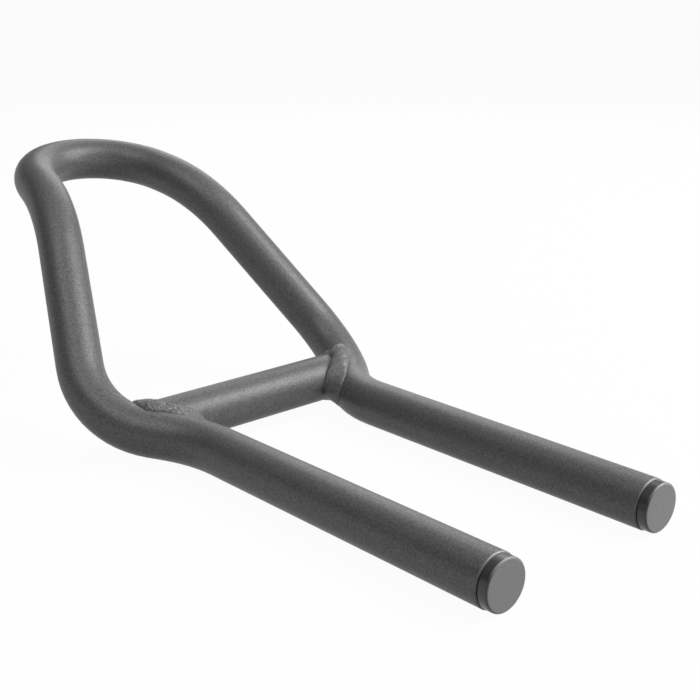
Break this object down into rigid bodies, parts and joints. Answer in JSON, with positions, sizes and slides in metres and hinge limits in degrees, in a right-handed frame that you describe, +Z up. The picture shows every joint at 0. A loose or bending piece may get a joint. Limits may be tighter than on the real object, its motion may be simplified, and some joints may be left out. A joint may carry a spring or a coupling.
{
  "type": "aero handlebar extension",
  "caption": "Bent-tube aero handlebar extension with straight parallel legs for clamping, a welded cross bridge, a raised closed loop in front to hold, and push-in plugs in its rear ends.",
  "frame": {"origin": "midway between the two leg axes, in the plane of the tubes' rear ends", "axes": "+Y forward along the legs, +Z up, +X to the rider's right"},
  "size_m": [0.168, 0.3732, 0.1256],
  "materials": {
    "blasted_tube": "matte, bead blasted and dark anodised",
    "weld_filler": "matte, rippled and dark anodised",
    "plug_plastic": "satin moulded"
  },
  "bodies": {
    "root": {"loop_tube": "blasted_tube", "bridge_tube": "blasted_tube", "weld_bead_left": "weld_filler", "weld_bead_right": "weld_filler", "end_plug_left": "plug_plastic", "end_plug_right": "plug_plastic"}
  },
  "joints": []
}
